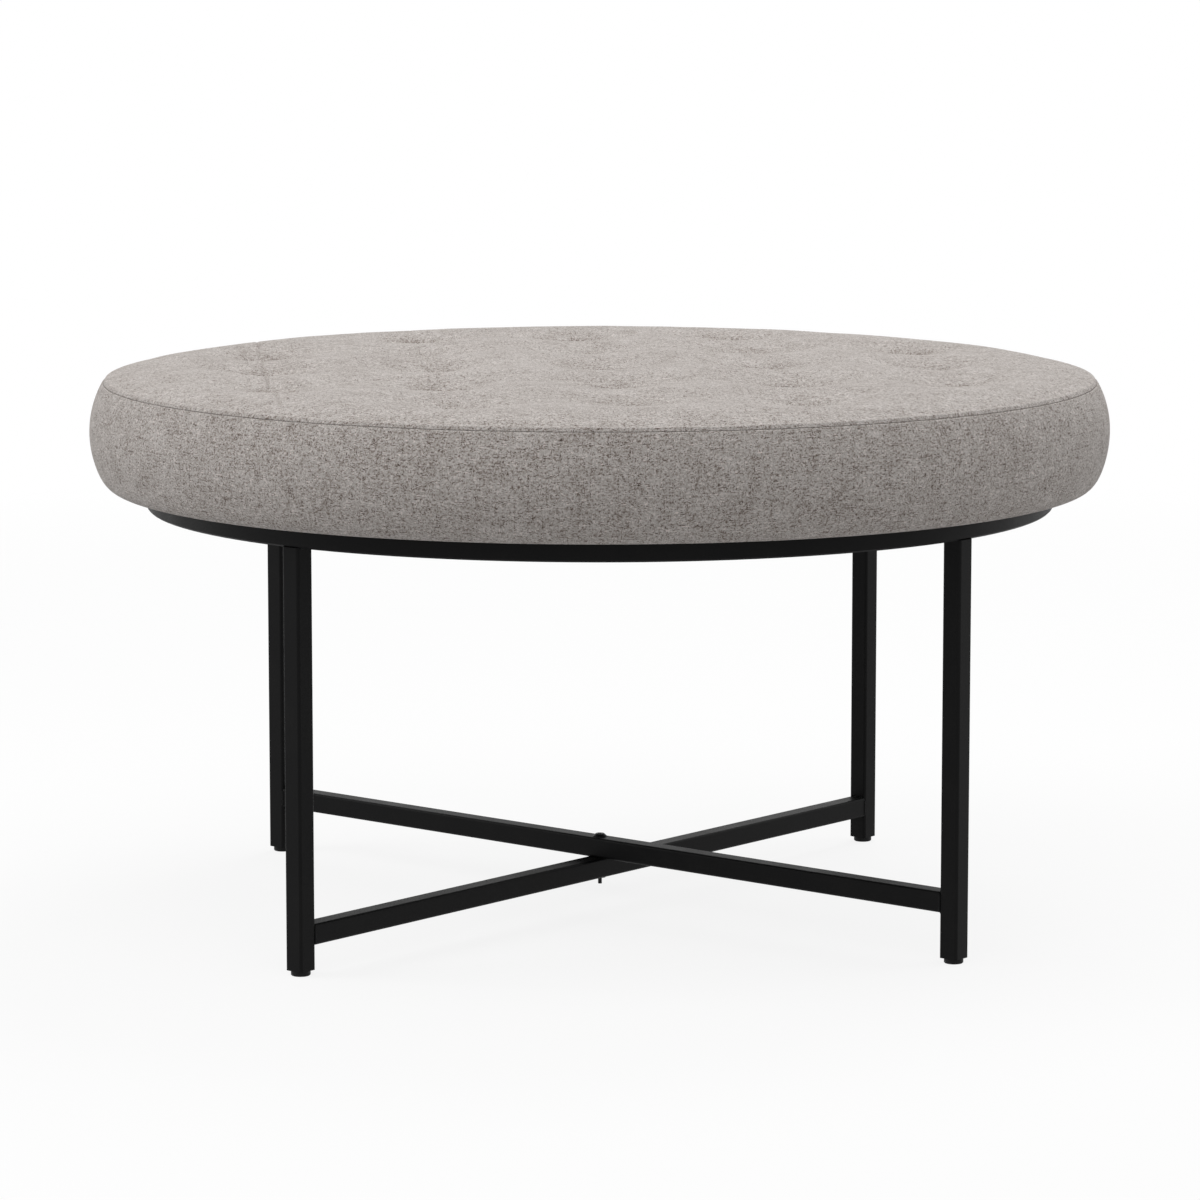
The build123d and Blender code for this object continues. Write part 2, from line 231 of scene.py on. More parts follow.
def weaveFinish(name):
    made = Finish(name)
    u, v = made.split(made.add("ShaderNodeUVMap", {"uv_map": "weave"}))[:2]
    warpPlace, weftPlace = u / fabric["pitch"], v / fabric["pitch"]
    warpIndex, weftIndex = warpPlace.math("FLOOR"), weftPlace.math("FLOOR")
    checker = (warpIndex + weftIndex).math("FLOORED_MODULO", 2)
    patch = made.noise(made.join(u / fabric["float"], v / fabric["float"], 4.4), 1.0, 2)
    over = made.steps((checker - 0.5) * 0.3 + (patch - fabric["warpShare"]) * 4, -0.08, 0.08)
    warpRound = (warpPlace.math("FRACT") * pi).math("SINE")
    weftRound = (weftPlace.math("FRACT") * pi).math("SINE")
    height = over * warpRound + (1 - over) * weftRound
    warpTone = made.noise(made.join(warpIndex * 7.31, v / fabric["warpFleck"], 0.5), 1.0, 2, 0.6)
    weftTone = made.noise(made.join(u / fabric["weftFleck"], weftIndex * 5.77, 9.1), 1.0, 2, 0.6)
    warpSlub = made.noise(made.join(warpIndex * 3.17, v / fabric["slub"], 6.3), 1.0, 1)
    weftSlub = made.noise(made.join(u / fabric["slub"], weftIndex * 2.39, 3.8), 1.0, 1)
    darkSlub = made.steps(warpSlub, 0.60, 0.70).math("MAXIMUM", made.steps(weftSlub, 0.60, 0.70))
    lightSlub = made.steps(weftSlub, 0.31, 0.40, 1, 0)
    # painted shade round the tufts, from an attribute of the top panel
    tight = made.add("ShaderNodeAttribute", {"attribute_name": "tight"}, None, "Fac")
    fibre = made.noise(made.place, fabric["fibreScale"], 1)
    speck = made.steps(made.noise(made.place, fabric["speckScale"], 1), 0.62, 0.74)
    cloud = made.noise(made.place, fabric["cloudScale"], 4, 0.6)
    tone = (over * warpTone + (1 - over) * weftTone - 0.5) * fabric["yarnTone"] + 0.5
    tone = tone + (fibre - 0.5) * fabric["fibreTone"] + (cloud - 0.5) * fabric["cloudTone"]
    tone = tone - speck * fabric["speckTone"] - darkSlub * fabric["darkSlubTone"]
    tone = tone + lightSlub * fabric["lightSlubTone"]
    shade = tone + fabric["evenTone"] - tight * fabric["tuftShadeTone"]
    return made.surface({
        "Base Color": made.add("ShaderNodeValToRGB", {"stops": fabric["stops"]}, {0: shade}),
        "Roughness": made.steps(tone, 0.3, 0.7, 0.95, 0.82),
        "Specular IOR Level": 0.25,
        "Sheen Weight": 0.12,
        "Sheen Roughness": 0.5,
        "Normal": made.bump(height + (fibre - 0.5) * 0.5, fabric["bumpHeight"], 0.6),
    })


# Finishes of the frame, the fasteners and the inner pieces. A bump is its height and its strength.
powderCoat = {
    "colours": ((0.0052, 0.0052, 0.0054), (0.0092, 0.0090, 0.0089)),  # clean and dusty
    "peelScale": 900,
    "gritScale": 3800,
    "dustScale": 22,
    "roughness": (0.40, 0.54),
    "specular": 0.09,
    "bump": (0.00006, 0.5),
}


def powderCoatFinish(name):
    made = Finish(name)
    peel = made.noise(made.place, powderCoat["peelScale"], 2)
    grit = made.noise(made.place, powderCoat["gritScale"], 1)
    dust = made.noise(made.place, powderCoat["dustScale"], 4, 0.6)
    rough = (peel + (dust - 0.5) * 0.6, 0.3, 0.7)
    return made.coat(powderCoat, made.steps(dust, 0.45, 0.75), rough, peel + grit * 0.3)


blackOxide = {
    "colours": ((0.010, 0.010, 0.011), (0.035, 0.034, 0.033)),  # black and rubbed
    "castScale": 700,
    "rubbedScale": 160,
    "roughness": (0.30, 0.48),
    "metallic": (0.35, 0.75),
    "specular": 0.2,
    "bump": (0.00004, 0.5),
}


def blackOxideFinish(name):
    made = Finish(name)
    cast = made.noise(made.place, blackOxide["castScale"], 3)
    rubbed = made.steps(made.noise(made.place, blackOxide["rubbedScale"], 4, 0.65), 0.55, 0.72)
    metallic = made.steps(rubbed, 0, 1, *blackOxide["metallic"])
    return made.coat(blackOxide, rubbed, (cast, 0.3, 0.7), cast, metallic)


zincPlate = {
    "colours": ((0.48, 0.49, 0.50), (0.70, 0.71, 0.70)),  # dull and bright
    "cellScale": 900,
    "hazeScale": 240,
    "roughness": (0.28, 0.46),
    "specular": 0.5,
    "bump": (0.00002, 0.4),
}


def zincFinish(name):
    made = Finish(name)
    cells = made.cells(zincPlate["cellScale"])
    haze = made.noise(made.place, zincPlate["hazeScale"], 3)
    tint = made.steps(cells * 0.5 + haze * 0.6, 0.2, 0.9)
    return made.coat(zincPlate, tint, (haze, 0.3, 0.7), cells, 1.0)


blackMoulding = {
    "colours": ((0.0075, 0.0075, 0.0078), (0.019, 0.019, 0.019)),  # clean and scuffed
    "grainScale": 1700,
    "scuffScale": 130,
    "roughness": (0.50, 0.66),
    "specular": 0.15,
    "bump": (0.00005, 0.5),
}


def blackPlasticFinish(name):
    made = Finish(name)
    grain = made.cells(blackMoulding["grainScale"])
    scuff = made.steps(made.noise(made.place, blackMoulding["scuffScale"], 4, 0.7), 0.52, 0.70)
    return made.coat(blackMoulding, scuff, (scuff, 0, 1), grain)


plywood = {
    "plyThickness": 0.00136,
    "grainStretch": (6, 210, 300),  # along the ply, across it, through it
    "poreStretch": (30, 2400, 900),
    "lightPly": ((0.46, 0.30, 0.17), (0.66, 0.50, 0.33)),
    "darkPly": ((0.30, 0.18, 0.10), (0.47, 0.32, 0.20)),
    "pore": (0.16, 0.09, 0.05),
    "roughness": (0.75, 0.60),
    "specular": 0.3,
    "bump": (0.00012, 0.6),
}


def plywoodFinish(name):
    made = Finish(name)
    x, y, z = made.split(made.place)
    ply = ((z - boardLow.z) / plywood["plyThickness"]).math("FLOOR")
    crossed = ply.math("FLOORED_MODULO", 2)
    long, wide, deep = plywood["grainStretch"]
    along = made.noise(made.join(x * long, y * wide, z * deep), 1.0, 4, 0.6)
    across = made.noise(made.join(x * wide, y * long, z * deep), 1.0, 4, 0.6)
    grain = crossed * across + (1 - crossed) * along
    long, wide, deep = plywood["poreStretch"]
    pores = made.steps(made.noise(made.join(x * long, y * wide, z * deep), 1.0, 2), 0.60, 0.72)
    tint = made.steps(grain, 0.32, 0.68)
    light, dark = made.mixColour(tint, *plywood["lightPly"]), made.mixColour(tint, *plywood["darkPly"])
    plies = made.mixColour(crossed * 0.8, light, dark)
    return made.surface({
        "Base Color": made.mixColour(pores * 0.35, plies, plywood["pore"]),
        "Roughness": made.steps(grain, 0.3, 0.7, *plywood["roughness"]),
        "Specular IOR Level": plywood["specular"],
        "Normal": made.bump(grain - pores * 0.4, *plywood["bump"]),
    })


foam = {
    "colours": ((0.74, 0.66, 0.45), (0.82, 0.76, 0.58)),
    "cellScale": 1100,
    "cloudScale": 14,
    "roughness": (0.80, 0.95),
    "specular": 0.2,
    "bump": (0.0003, 0.8),
}


def foamFinish(name):
    made = Finish(name)
    hollow = made.steps(made.cells(foam["cellScale"], "DISTANCE_TO_EDGE"), 0.02, 0.16)
    cloud = made.steps(made.noise(made.place, foam["cloudScale"], 3), 0.35, 0.65)
    return made.coat(foam, cloud, (hollow, 0, 1), 1 - hollow)


spunBond = {
    "colours": ((0.011, 0.011, 0.012), (0.030, 0.030, 0.031)),
    "fibreScale": 1500,
    "crossingTurn": 0.7,
    "crossingScale": (2600, 260, 900),
    "bondPitch": 0.0022,  # spots pressed into the cloth, row by row
    "roughness": (0.92, 0.74),
    "specular": 0.2,
    "bump": (0.00012, 0.7),
}


def dustClothFinish(name):
    made = Finish(name)
    fibres = made.noise(made.place, spunBond["fibreScale"], 3, 0.7)
    turn, scale = (0, 0, spunBond["crossingTurn"]), spunBond["crossingScale"]
    turned = made.add("ShaderNodeMapping", None, {"Vector": made.place, "Rotation": turn, "Scale": scale})
    tone = fibres * 0.6 + made.noise(turned, 1.0, 2) * 0.4
    waves = [(way / spunBond["bondPitch"] * 2 * pi).math("SINE") for way in made.split(made.place)[:2]]
    spots = made.steps((waves[0] * waves[1]).math("ABSOLUTE"), 0.70, 0.90)
    return made.coat(spunBond, made.steps(tone, 0.35, 0.65), (spots, 0, 1), tone - spots * 0.6)


yarn = {
    "fibreScale": 2200,
    "slubScale": 170,
    "roughness": (0.92, 0.75),
    "specular": 0.2,
    "bump": (0.00010, 0.6),
}
tieYarn = {**yarn, "colours": ((0.34, 0.29, 0.23), (0.62, 0.57, 0.48))}
tuftYarn = {**yarn, "colours": ((0.16, 0.145, 0.135), (0.40, 0.37, 0.345))}


def twineFinish(name, look):
    made = Finish(name)
    fibres = made.noise(made.place, look["fibreScale"], 3, 0.7)
    slubs = made.noise(made.place, look["slubScale"], 2)
    tint = made.steps(fibres + (slubs - 0.5) * 0.5, 0.3, 0.7)
    return made.coat(look, tint, (fibres, 0.3, 0.7), fibres)


toggle = {
    "colours": ((0.36, 0.35, 0.33), (0.46, 0.45, 0.42)),
    "flowScale": 60,
    "grainScale": 2400,
    "roughness": (0.42, 0.56),
    "specular": 0.4,
    "bump": (0.00003, 0.4),
}


def toggleFinish(name):
    made = Finish(name)
    flow = made.steps(made.noise(made.place, toggle["flowScale"], 3), 0.35, 0.65)
    grain = made.noise(made.place, toggle["grainScale"], 2)
    return made.coat(toggle, flow, (grain, 0.3, 0.7), grain)


coverFabric = weaveFinish("cover_weave")
tieTwine = twineFinish("tie_twine", tieYarn)
tuftThread = twineFinish("tuft_thread", tuftYarn)
slotFinishes = {
    "frame_paint": powderCoatFinish("black_powder_coat"),
    "black_hardware": blackOxideFinish("black_oxide"),
    "zinc": zincFinish("zinc_plate"),
    "black_plastic": blackPlasticFinish("black_moulding"),
    "plywood": plywoodFinish("birch_plywood"),
    "foam": foamFinish("cut_foam"),
    "cover_fabric": coverFabric,
    "dust_fabric": dustClothFinish("spun_bond"),
    "tie_cord": tieTwine,
    "tie_toggle": toggleFinish("toggle_moulding"),
}
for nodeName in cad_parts:
    for slotOnNode in bpy.data.objects[nodeName].material_slots:
        slotOnNode.material = slotFinishes[slotOnNode.material.name]
print("materials assigned")


def makePiece(name, mesh, material, smooth=True):
    mesh.materials.clear()
    mesh.materials.append(material)
    for polygon in mesh.polygons:
        polygon.use_smooth = smooth
    piece = bpy.data.objects.new(name, mesh)
    bpy.context.scene.collection.objects.link(piece)
    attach(piece, mainBody)
    print(name + ":", len(mesh.polygons), "faces")
    return piece


def takeMesh(mesh, name):
    # Turns the faces outwards and gives the working mesh as a finished one
    bmesh.ops.recalc_face_normals(mesh, faces=mesh.faces)
    made = bpy.data.meshes.new(name)
    mesh.to_mesh(made)
    mesh.free()
    return made


def bridge(mesh, first, second):
    # A row of faces between two closed rings of points
    for k in range(len(first)):
        after = (k + 1) % len(first)
        mesh.faces.new((first[k], second[k], second[after], first[after]))


# Cushion, top panel: a dome with a rolled shoulder, filled by a cloth simulation
cushion = {
    "crownLevel": 0.4881,
    "rollRadius": 0.405,  # where the dome turns into the shoulder
    "rollLevel": 0.4823,
    "pitch": 0.148,  # of the tufts, both ways
    "rows": 2,  # of tufts on each side of the middle one
    "margin": 0.078,  # least way from a tuft to the seam
    "depth": 0.0130,
    "outerSqueeze": 0.95,  # how much sooner a dip ends towards the seam
    "spread": 0.088,
    "neck": 0.0025,
    "squareness": 4.0,  # power of the norm that gives a dip its corners along the rows
    "merge": 4,  # power that joins neighbouring dips smoothly
    "funnelDepth": 0.0068,
    "funnelWidth": 0.0115,
    # reach of the painted shade round each tuft
    "tuftShadeWidth": 0.021,
    "ringSpacing": 0.0062,
    "lipReach": 0.0108,
    "foamGap": 0.0002,
    "seed": 11.7,
}
filling = {
    "frames": 20,
    "fullness": 0.035,  # share by which the cut panel is wider than the dome
    "pressure": 9.0,
    "stiffness": 15.0,
    "shear": 5.0,
    "bending": 0.3,
    "damping": 2,
    "mass": 0.3,
    "quality": 5,
    "shrink": 0.0004,  # start below the crown, because the panel swells
    "shrinkRings": 6,  # over which that fades towards the rim
    "cap": 0.007,
    "held": 0.006,  # radius that a tuft holds still
}
pleats = {
    "count": 11,
    "depth": 0.0047,
    "inner": 0.006,  # where a fold reaches its full depth
    "reach": 0.027,
    "wander": 2.6,  # how unevenly the folds stand round the tuft
    "lengths": (0.55, 0.75),  # the shortest, and what chance adds, as shares of the reach
    "strengths": (0.35, 1.3),
    "fineRadius": 0.030,
    "finestRadius": 0.017,
}
# Straight creases that run along a column of tufts towards the seam
creases = [
    {"x": -0.296, "from": -0.331, "to": 0.305, "bend": 0.008, "depth": 0.0022},
    {"x": -0.148, "from": -0.148, "to": 0.395, "bend": 0.0, "depth": 0.0010},
]
creaseWidth = 0.0011
creaseWander = 0.0008
# Waves that hand filling leaves: how close, seed and height
unevenness = [(11, 0, 0.0006), (34, 5, 0.00022)]
# Rolled edge of the panel beside the seam, as offsets from the seam: a soft dip where the seam allowance
# ends below, a steep stretch over it, and the crease
lipPoints = [
    (-0.0095, 0.00474), (-0.0083, 0.00428), (-0.0072, 0.00396), (-0.0062, 0.00380), (-0.0053, 0.00376),
    (-0.0045, 0.00376), (-0.0038, 0.00368), (-0.0032, 0.00348), (-0.0027, 0.00314), (-0.0023, 0.00268),
    (-0.0020, 0.00218), (-0.0017, 0.00166), (-0.0014, 0.00116), (-0.0011, 0.00072), (-0.0010, 0.00040),
    (-0.0014, 0.00020), (-0.0024, 0.00008),
]
seamRadius = panelHigh.x
seamLevel = bandHigh.z
foamTop = panelLow.z
foamRadius = boardHigh.x
domeReach = seamRadius - cushion["lipReach"]
tuftSteps = range(-cushion["rows"], cushion["rows"] + 1)
tuftPlaces = [
    (column * cushion["pitch"], row * cushion["pitch"])
    for row in tuftSteps
    for column in tuftSteps
    if hypot(column, row) * cushion["pitch"] < seamRadius - cushion["margin"]
]
crownRise = cushion["crownLevel"] - cushion["rollLevel"]
domeRadius = (cushion["rollRadius"] ** 2 + crownRise ** 2) / (2 * crownRise)
domeCentre = Vector((0, cushion["crownLevel"] - domeRadius))
rollStart = Vector((cushion["rollRadius"], cushion["rollLevel"]))
seamPoint = Vector((seamRadius, seamLevel))
inward = (domeCentre - rollStart).normalized()
rollRadius = -(rollStart - seamPoint).length_squared / (2 * inward.dot(rollStart - seamPoint))
rollCentre = rollStart + inward * rollRadius


def crownAt(radius):
    centre, size = (domeCentre, domeRadius) if radius < rollStart.x else (rollCentre, rollRadius)
    return centre.y + sqrt(max(0, size ** 2 - (radius - centre.x) ** 2))


def dipAt(x, y):
    # How far the tufts pull the crown down at a place, before the panel is filled
    total = 0
    power = cushion["squareness"]
    for tuftX, tuftY in tuftPlaces:
        dx, dy = x - tuftX, y - tuftY
        along, across = abs(dx + dy) / sqrt(2), abs(dx - dy) / sqrt(2)
        away = (along ** power + across ** power) ** (1 / power)
        if hypot(tuftX, tuftY) > cushion["rows"] * cushion["pitch"] - 1e-6:
            outward = (dx * tuftX + dy * tuftY) / (hypot(dx, dy) * hypot(tuftX, tuftY) + 1e-9)
            away *= 1 + cushion["outerSqueeze"] * max(0, outward)
        reach = max(0, min(1, (cushion["spread"] - away) / (cushion["spread"] - cushion["neck"])))
        total += (cushion["depth"] * reach ** 2) ** cushion["merge"]
    return total ** (1 / cushion["merge"])


def nearestTuft(x, y):
    return min((hypot(x - tuftX, y - tuftY), index) for index, (tuftX, tuftY) in enumerate(tuftPlaces))


def puckerAt(x, y):
    # Funnel at the nearest tuft, with the pleats that run into it, and the straight creases
    distance, index = nearestTuft(x, y)
    drop = cushion["funnelDepth"] * exp(-((distance / cushion["funnelWidth"]) ** 2))
    if distance < 1.5 * pleats["reach"]:
        tuftX, tuftY = tuftPlaces[index]
        turn = atan2(y - tuftY, x - tuftX)
        ring = Vector((cos(turn), sin(turn), index * 3.7 + cushion["seed"]))
        shifted = turn * pleats["count"] + pleats["wander"] * noise.noise(ring * 1.9)
        shortest, longer = pleats["lengths"]
        length = pleats["reach"] * (shortest + longer * abs(noise.noise(ring * 3.1 + Vector((0, 0, 40)))))
        fold = 1 - abs(sin(shifted / 2 + index)) ** 0.7
        rise = min(1, distance / pleats["inner"])
        fade = max(0, 1 - distance / length) ** 0.8
        weakest, stronger = pleats["strengths"]
        strength = weakest + stronger * max(0, noise.noise(ring * 2.3 + Vector((0, 0, 80))) + 0.35)
        drop += pleats["depth"] * fold * rise * fade * strength
    return drop + creaseAt(x, y)


def creaseAway(line, x, y):
    below = max(0, (-cushion["pitch"] - y) / (-cushion["pitch"] - line["from"] + 1e-6))
    bent = line["x"] + line["bend"] * below
    return abs(x - bent + creaseWander * noise.noise(Vector((0, y * 30, line["x"]))))


def creaseAt(x, y):
    drop = 0
    for line in creases:
        if line["from"] < y < line["to"]:
            ends = min(1, (y - line["from"]) / 0.02, (line["to"] - y) / 0.06)
            faint = 0.75 + 0.5 * noise.noise(Vector((line["x"], y * 14, 2.2)))
            drop += line["depth"] * exp(-((creaseAway(line, x, y) / creaseWidth) ** 2)) * ends * faint
    return drop


def needsFine(place, radius):
    x, y = place.x, place.y
    creased = any(
        line["from"] < y < line["to"] and creaseAway(line, x, y) < 0.2 * radius for line in creases
    )
    return creased or nearestTuft(x, y)[0] < radius


def unevenAt(x, y):
    return sum(
        noise.noise(Vector((x * close, y * close, cushion["seed"] + seed))) * height
        for close, seed, height in unevenness
    )


def cutPanel():
    # Rings of triangles: places on the dipped dome and in the flat cut, faces, and the rim's first point
    ringCount = round(domeReach / cushion["ringSpacing"])
    spacing = domeReach / ringCount
    places, cut, faces, starts = [], [], [], []
    girth = 0.0
    for index in range(ringCount + 1):
        starts.append(len(places))
        radius = index * spacing
        if index:
            girth += hypot(spacing, crownAt(radius) - crownAt(radius - spacing))
        wide = girth * (1 + filling["fullness"])
        shrink = filling["shrink"] * min(1, (ringCount - index) / filling["shrinkRings"])
        count = max(1, 6 * index)
        for k in range(count):
            turn = 2 * pi * k / count
            x, y = radius * cos(turn), radius * sin(turn)
            places.append((x, y, crownAt(radius) - dipAt(x, y) - shrink))
            cut.append((wide * cos(turn), wide * sin(turn), 0))
    for index in range(1, ringCount + 1):
        outer, inner = starts[index], starts[index - 1]
        outerCount, innerCount = 6 * index, max(1, 6 * (index - 1))
        for sector in range(6):
            for step in range(index):
                a = outer + sector * index + step
                b = outer + (sector * index + step + 1) % outerCount
                c = inner + (sector * (index - 1) + step) % innerCount
                faces.append((a, b, c))
                if step < index - 1:
                    faces.append((b, inner + (sector * (index - 1) + step + 1) % innerCount, c))
    return places, cut, faces, starts[-1]


def fillPanel(places, cut, faces, rim):
    # Blows the panel up, held at its rim and its tufts, and gives each point's place when it has settled
    start = bpy.data.meshes.new("panel_start")
    start.from_pydata(places, [], faces)
    puffed = bpy.data.objects.new("panel_filling", start)
    bpy.context.scene.collection.objects.link(puffed)
    held = list(range(rim, len(places)))
    held += [index for index, (x, y, z) in enumerate(places) if nearestTuft(x, y)[0] < filling["held"]]
    puffed.vertex_groups.new(name="held").add(held, 1.0, "REPLACE")
    puffed.shape_key_add(name="Basis")
    flat = puffed.shape_key_add(name="cut")
    for point, place in zip(flat.data, cut):
        point.co = place
    flat.value = 0
    cloth = puffed.modifiers.new("filling", "CLOTH").settings
    cloth.quality = filling["quality"]
    cloth.mass = filling["mass"]
    cloth.tension_stiffness = cloth.compression_stiffness = filling["stiffness"]
    cloth.shear_stiffness = filling["shear"]
    cloth.bending_stiffness = filling["bending"]
    cloth.air_damping = filling["damping"]
    cloth.use_pressure = True
    cloth.uniform_pressure_force = filling["pressure"]
    cloth.effector_weights.gravity = 0
    cloth.vertex_group_mass = "held"
    cloth.rest_shape_key = flat
    for step in range(1, filling["frames"] + 1):
        bpy.context.scene.frame_set(step)
    depsgraph = bpy.context.evaluated_depsgraph_get()
    settled = [vert.co.copy() for vert in puffed.evaluated_get(depsgraph).data.vertices]
    bpy.context.scene.frame_set(1)
    bpy.data.objects.remove(puffed)
    cap = filling["cap"]
    moves = [after - Vector(before) for before, after in zip(places, settled)]
    moves = [move.normalized() * cap if move.length > cap else move for move in moves]
    print("top panel filled: largest move", round(max(move.length for move in moves) * 1000, 1), "mm")
    return [tuple(Vector(place) + move) for place, move in zip(places, moves)]


def refinePanel(mesh):
    # One subdivision everywhere, and one or two more near the tufts and the creases
    bmesh.ops.subdivide_edges(mesh, edges=mesh.edges[:], cuts=1, use_grid_fill=True)
    inside = [vert for vert in mesh.verts if not vert.is_boundary]
    for turn in range(3):
        bmesh.ops.smooth_vert(mesh, verts=inside, factor=0.5, use_axis_z=True)
    for radius in (pleats["fineRadius"], pleats["finestRadius"]):
        near = {vert for vert in mesh.verts if not vert.is_boundary and needsFine(vert.co, radius)}
        edges = [edge for edge in mesh.edges if edge.verts[0] in near and edge.verts[1] in near]
        bmesh.ops.subdivide_edges(mesh, edges=edges, cuts=1, use_grid_fill=True)
        near = [vert for vert in mesh.verts if not vert.is_boundary and needsFine(vert.co, radius)]
        bmesh.ops.smooth_vert(
            mesh, verts=near, factor=0.5, use_axis_x=True, use_axis_y=True, use_axis_z=True)


def buildTopPanel():
    places, cut, faces, rim = cutPanel()
    places = fillPanel(places, cut, faces, rim)
    mesh = bmesh.new()
    weave = mesh.loops.layers.uv.new("weave")
    tight = mesh.verts.layers.float.new("tight")
    points = [mesh.verts.new(place) for place in places]
    for face in faces:
        mesh.faces.new([points[index] for index in face])
    refinePanel(mesh)
    for vert in mesh.verts:
        x, y = vert.co.x, vert.co.y
        inside = min(1, (domeReach - hypot(x, y)) / 0.02)
        vert.co.z += (unevenAt(x, y) - puckerAt(x, y)) * max(0, inside)
        # painted shade: darkens the cloth round each tuft, less with distance
        vert[tight] = exp(-((nearestTuft(x, y)[0] / cushion["tuftShadeWidth"]) ** 2))
    previous = [vert for vert in mesh.verts if vert.is_boundary]
    previous.sort(key=lambda vert: atan2(vert.co.y, vert.co.x))
    turns = [atan2(vert.co.y, vert.co.x) for vert in previous]
    bottom = foamTop + cushion["foamGap"]
    lower = [(seamRadius + dr, seamLevel + dz) for dr, dz in lipPoints]
    lower += [(foamRadius * share, bottom) for share in (1, 0.8, 0.55, 0.3, 0.1)]
    laid = {}  # places in the weave of the points past the dome, by their way along the panel
    way = radiusBefore = domeReach
    levelBefore = crownAt(way)
    for radius, level in lower:
        ring = [mesh.verts.new((radius * cos(turn), radius * sin(turn), level)) for turn in turns]
        way += hypot(radius - radiusBefore, level - levelBefore)
        radiusBefore, levelBefore = radius, level
        laid.update({vert: (way * cos(turn), way * sin(turn)) for vert, turn in zip(ring, turns)})
        bridge(mesh, previous, ring)
        previous = ring
    centre = mesh.verts.new((0, 0, bottom))
    for k in range(len(turns)):
        mesh.faces.new((previous[k], centre, previous[(k + 1) % len(turns)]))
    for face in mesh.faces:
        for loop in face.loops:
            loop[weave].uv = laid.get(loop.vert, loop.vert.co.xy)
    return takeMesh(mesh, "seat_top_panel")


topPanel = makePiece("seat_top_panel", buildTopPanel(), coverFabric)
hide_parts("cover_top_panel")


# Cushion, side band: bulges between the seam and its drawn-in lower edge, then turns under the board
band = {
    "segments": 720,
    "bulgeDrop": 0.0396,  # from the seam down to where it is widest
    "toeInset": 0.0081,
    "toeHeight": 0.0125,
    "sideStart": 0.0018,  # where the side begins, below the seam's crease
    "sideSteps": 44,
    "curlLevel": 0.4040,  # where the side begins to curl in
    "curlReach": (0.018, 0.008),  # how far the side's and the sole's directions carry into the curl
    "curlSteps": 18,
    "puffDepth": 0.0007,
    "puffGain": 1.6,
    "puffTurns": 3.1,
    "soleRadius": 0.4260,  # where the curl meets the flat hem
    "hemRadius": 0.372,
    "hemSteps": (0.045, 0.02, 0),
}
seatRadius = bandHigh.x
hemRadius = band["hemRadius"]
hemLevel = clothHigh.z
hemTop = boardLow.z
# Lip of the band in the crease under the seam, as offsets from the seam
bandLip = [(-0.0022, 0.0), (-0.0012, -0.00006), (-0.0004, -0.00018), (0.0001, -0.00042), (0.0005, -0.00090)]


def arcThrough(first, middle, last):
    (ax, ay), (bx, by), (cx, cy) = first, middle, last
    a, b, c = ax**2 + ay**2, bx**2 + by**2, cx**2 + cy**2
    d = 2 * (ax * (by - cy) + bx * (cy - ay) + cx * (ay - by))
    x = (a * (by - cy) + b * (cy - ay) + c * (ay - by)) / d
    y = (a * (cx - bx) + b * (ax - cx) + c * (bx - ax)) / d
    return x, y, hypot(ax - x, ay - y)


def bandProfile():
    start = (seamRadius, seamLevel)
    widest = (seatRadius, seamLevel - band["bulgeDrop"])
    toe = (seatRadius - band["toeInset"], ringHigh.z + band["toeHeight"])
    centreX, centreY, size = arcThrough(start, widest, toe)
    points = [(seamRadius + dr, seamLevel + dz) for dr, dz in bandLip]
    rises = (seamLevel - band["sideStart"] - centreY, band["curlLevel"] - centreY)
    top, bottom = [atan2(rise, sqrt(size**2 - rise**2)) for rise in rises]
    for index in range(band["sideSteps"] + 1):
        turn = top + (bottom - top) * index / band["sideSteps"]
        points.append((centreX + size * cos(turn), centreY + size * sin(turn)))
    curlStart, curlEnd = Vector(points[-1]), Vector((band["soleRadius"], hemLevel))
    fromSide = curlStart + Vector((sin(bottom), -cos(bottom))) * band["curlReach"][0]
    intoSole = curlEnd + Vector((band["curlReach"][1], 0))
    for index in range(1, band["curlSteps"] + 1):
        t = index / band["curlSteps"]
        upper = curlStart * (1 - t) ** 3 + fromSide * 3 * t * (1 - t) ** 2
        points.append(tuple(upper + intoSole * 3 * t ** 2 * (1 - t) + curlEnd * t ** 3))
    inner = foamRadius + cushion["foamGap"]
    points += [(hemRadius + step, hemLevel) for step in band["hemSteps"]]
    points += [(hemRadius, hemTop), (hemRadius + 0.03, hemTop), (inner, hemTop)]
    points += [(inner, boardHigh.z), (inner, (boardHigh.z + foamTop) / 2), (inner, foamTop)]
    return points


def buildSideBand():
    mesh = bmesh.new()
    weave = mesh.loops.layers.uv.new("weave")
    profile = bandProfile()
    count = band["segments"]
    girth = 2 * pi * seatRadius
    lengths = [0.0]
    for (r1, z1), (r2, z2) in zip(profile, profile[1:] + profile[:1]):
        lengths.append(lengths[-1] + hypot(r2 - r1, z2 - z1))
    rings = []
    for radius, level in profile:
        share = max(0, min(1, (level - hemLevel) / (seamLevel - hemLevel)))
        outside = radius > foamRadius + 0.003
        swell = sin(pi * share) ** 1.5 * outside * band["puffDepth"]
        ring = []
        for k in range(count):
            turn = 2 * pi * k / count
            way = Vector((cos(turn) * band["puffTurns"], sin(turn) * band["puffTurns"], level * 9))
            puffed = radius + swell * noise.noise(way) * band["puffGain"]
            ring.append(mesh.verts.new((puffed * cos(turn), puffed * sin(turn), level)))
        rings.append(ring)
    for index, ring in enumerate(rings):
        below = rings[(index + 1) % len(rings)]
        for k in range(count):
            after = (k + 1) % count
            face = mesh.faces.new((ring[k], below[k], below[after], ring[after]))
            places = [(k, index), (k, index + 1), (k + 1, index + 1), (k + 1, index)]
            for loop, (column, row) in zip(face.loops, places):
                loop[weave].uv = (column / count * girth, -lengths[row])
    return takeMesh(mesh, "seat_side_band")


sideBand = makePiece("seat_side_band", buildSideBand(), coverFabric)
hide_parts("cover_side_band")


